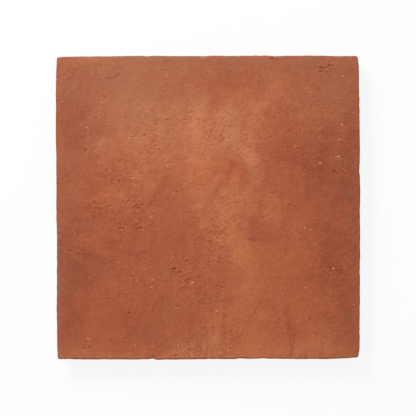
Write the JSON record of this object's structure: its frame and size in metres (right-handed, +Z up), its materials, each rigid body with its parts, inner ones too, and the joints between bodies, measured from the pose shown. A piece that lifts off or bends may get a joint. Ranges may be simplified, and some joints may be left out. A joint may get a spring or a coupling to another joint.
{
  "type": "square terracotta floor tile",
  "caption": "Flat square slab of unglazed fired clay with bowed sides and softened edges, laid on a bed as floor paving.",
  "frame": {"origin": "middle of the flat underside, on the bed that the tile lies on", "axes": "+Z up through the thickness to the struck face, +Y to the back side, +X to the right side"},
  "size_m": [0.3011, 0.3009, 0.03],
  "materials": {
    "terracotta": "matte"
  },
  "bodies": {
    "root": {"tile": "terracotta"}
  },
  "joints": []
}
